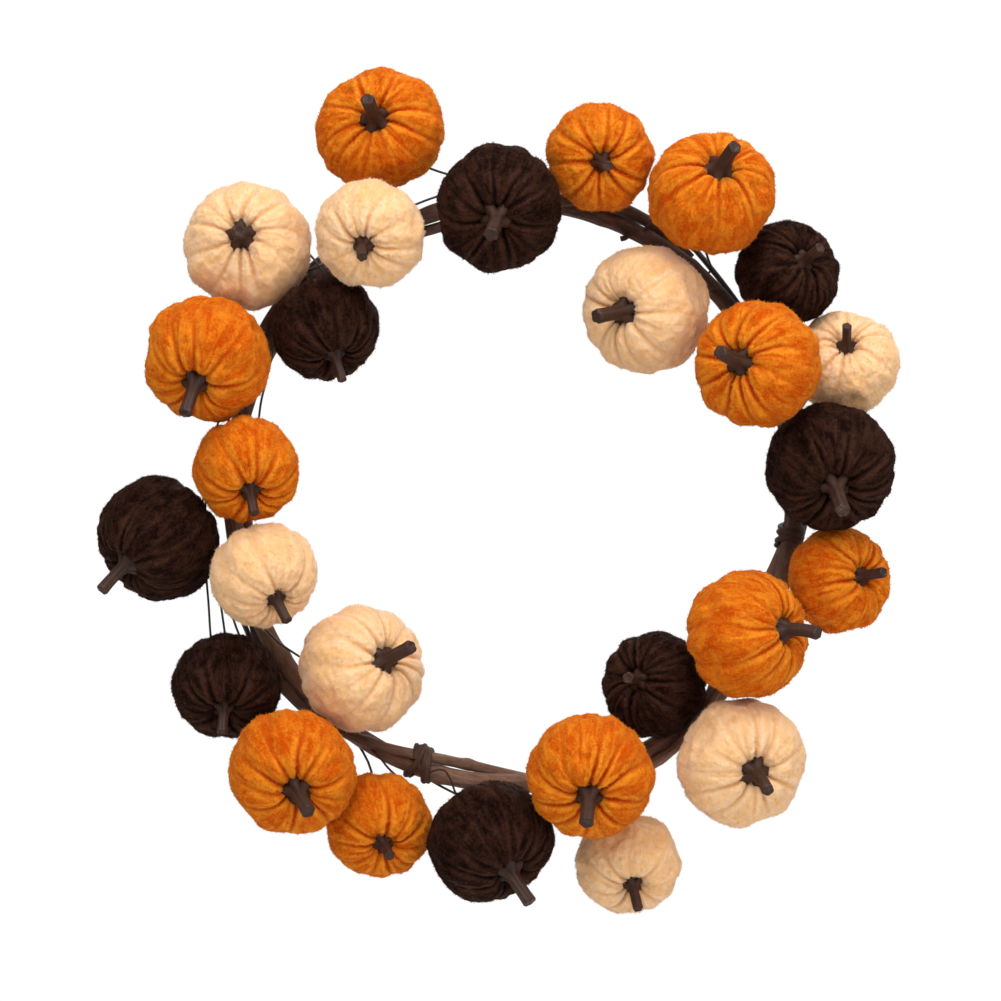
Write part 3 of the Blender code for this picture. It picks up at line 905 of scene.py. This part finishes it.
bark = barkMaterial()
mainSteps = 900
mainPath = wandering([ringPoint(360 * i / mainSteps) for i in range(mainSteps)])
shape = sweepBar(mainPath, 26, barkRadius(vine["mainRadius"] * 0.97, 3), closed=True)
mesh = asMesh("main_cane_bark", shape)
newPiece(mesh.name, mesh, "ring", "vine_bark", bark, ("vine_main_cane",))
shape = sweepBar(wandering(secondPath(mainSteps)), 20, barkRadius(vine["secondRadius"] * 1.02, 8))
mesh = asMesh("second_cane_bark", shape)
newPiece(mesh.name, mesh, "ring", "vine_bark", bark, ("vine_second_cane",))
print("canes ready")

# Thin vine tied round both canes, and loose tendrils
bindings = {
    "lower_binding_left": {
        "clock": 249.4, "turns": 1.8, "thick": 0.0017, "spread": 0.0040, "slant": 0.0022},
    "lower_binding_right": {
        "clock": 251.7, "turns": 2.3, "thick": 0.0018, "spread": 0.0052, "slant": -0.0028},
    "lower_binding_over": {
        "clock": 250.6, "turns": 1.2, "thick": 0.0014, "spread": 0.0020, "slant": -0.0062},
    "right_binding": {
        "clock": 352.4, "turns": 2.6, "thick": 0.0017, "spread": 0.0080, "slant": 0.0018},
    "right_binding_low": {
        "clock": 350.4, "turns": 1.7, "thick": 0.0015, "spread": 0.0034, "slant": -0.0030},
}


def bindingPath(look, seed):
    points = []
    steps = 26
    for i in range(steps + 1):
        share = i / steps
        turn = math.tau * look["turns"] * share - 0.9
        along = look["spread"] * (share - 0.5) + look["slant"] * math.cos(turn)
        clock = look["clock"] + math.degrees(along / vine["halfHeight"])
        out, forward = secondOffset(look["clock"])
        apart = math.hypot(out, forward)
        long = (apart + vine["mainRadius"] + vine["secondRadius"]) / 2 + look["thick"] * 0.7
        short = vine["mainRadius"] + look["thick"] * 0.8
        middle = (long - vine["mainRadius"] - look["thick"] * 0.7) / apart
        far, near = long * math.cos(turn), short * math.sin(turn)
        slack = 1 + 0.07 * math.sin(2.3 * turn + seed)
        points.append(ringPoint(clock, out * middle + (out * far - forward * near) / apart * slack,
                                forward * middle + (forward * far + out * near) / apart * slack))
    return points


for number, (name, look) in enumerate(bindings.items()):
    path = smoothPath(bindingPath(look, number), 150)
    shape = sweepBar(path, 12, barkRadius(look["thick"], 20 + number))
    newPiece(name, asMesh(name, shape), "ring", "vine_bark", bark)

tendrils = {
    "lower_tendril": (0.0007, ((-52, -170, 8), (-47, -168, 9), (-43.5, -167.5, 10), (-40.5, -169, 10),
                               (-37.5, -174, 9), (-35.5, -180, 7), (-33.5, -185, 3))),
    "lower_left_tendril": (0.0007, ((-86, -155, 7), (-80, -161, 9.5), (-76, -166, 9.5), (-71, -171, 7),
                                    (-66, -175, 3))),
    "upper_tendril": (0.0008, ((109, 124, 3), (114, 124, 7.5), (121.8, 124.2, 9), (127.8, 121.8, 8.5),
                               (131.4, 115.8, 6), (133, 109, 2))),
    "upper_stub": (0.0017, ((73, 160, 2), (71, 157.5, 3), (68, 155.0, 4), (65.5, 154.4, 4.5))),
    "upper_knot_shoot": (0.0014, ((80, 160, 4), (83, 163, 7), (84.5, 167, 8), (84, 171, 8))),
}
for number, (name, (thick, route)) in enumerate(tendrils.items()):
    shape = sweepBar(smoothPath(ringPlaces(route), 60), 9, barkRadius(thick, 30 + number))
    newPiece(name, asMesh(name, shape), "ring", "vine_bark", bark)
print("bindings ready")


# Wires
def wireMaterial():
    constants = {"Metallic": 0.55}
    material, graph, shader = newMaterial("darkWire", constants)
    place = graph.node("ShaderNodeTexCoord", out=3)
    spots = graph.node("ShaderNodeTexNoise", {}, {"Vector": place, "Scale": 300.0, "Detail": 4.0})
    tone = spots.mix((0.022, 0.020, 0.020, 1), (0.085, 0.075, 0.068, 1))
    bump = graph.node("ShaderNodeBump", {}, {"Height": spots, "Strength": 0.3, "Distance": 0.0003})
    finishMaterial(graph, shader, {"Base Color": tone, "Roughness": 0.35 + spots * 0.25,
                                   "Normal": bump})
    return material


darkWire = wireMaterial()
for node in ("wires_lower_left", "wires_lower_right", "wires_upper_left", "wires_upper_right"):
    carried = frame["nodes"][node]
    carried.data.materials.clear()
    carried.data.materials.append(darkWire)

looseWires = {
    "inner_wire_left": ((-143, 96, 9), (-149, 70, 9), (-152.5, 56, 8), (-154.5, 42, 7), (-158, 18, 5)),
    "outer_wire_left": ((-171, 66, 3), (-176, 52, 5), (-179.5, 40, 5), (-181, 24, 3)),
    "side_wire": ((-183, 18, 5), (-186, -2, 6), (-186.5, -16, 6), (-184, -36, 4)),
    "low_wire_outer": ((-182, -48, 3), (-178, -64, 5), (-175.5, -80, 5), (-173, -100, 2)),
    "low_wire_middle": ((-178, -50, 6), (-172, -68, 8), (-167.5, -82, 8), (-160, -100, 5)),
    "low_wire_far": ((-187, -44, 1), (-185, -66, 2), (-183.5, -88, 2), (-181, -106, 1)),
    "inner_wire_low": ((-158, -66, 6), (-153.6, -77, 9), (-143.5, -89, 10), (-131.4, -97.8, 8),
                       (-126, -101, 4)),
    "crossing_wire": ((-130, 152, 6), (-120, 141, 12), (-113, 131, 13), (-103, 119, 10)),
    "crossing_wire_low": ((-126, 134, 9), (-118, 137, 13), (-110, 141, 12), (-100, 147, 8)),
    "upper_left_wire": ((-76, 168, 3), (-64, 173, 6), (-50, 178.5, 7), (-36, 183, 4)),
}
for name, route in looseWires.items():
    shape = sweepBar(smoothPath(ringPlaces(route), 90), 8, lambda share, angle, length: 0.0007)
    newPiece(name, asMesh(name, shape), "ring", "wire", darkWire)
print("wires ready")
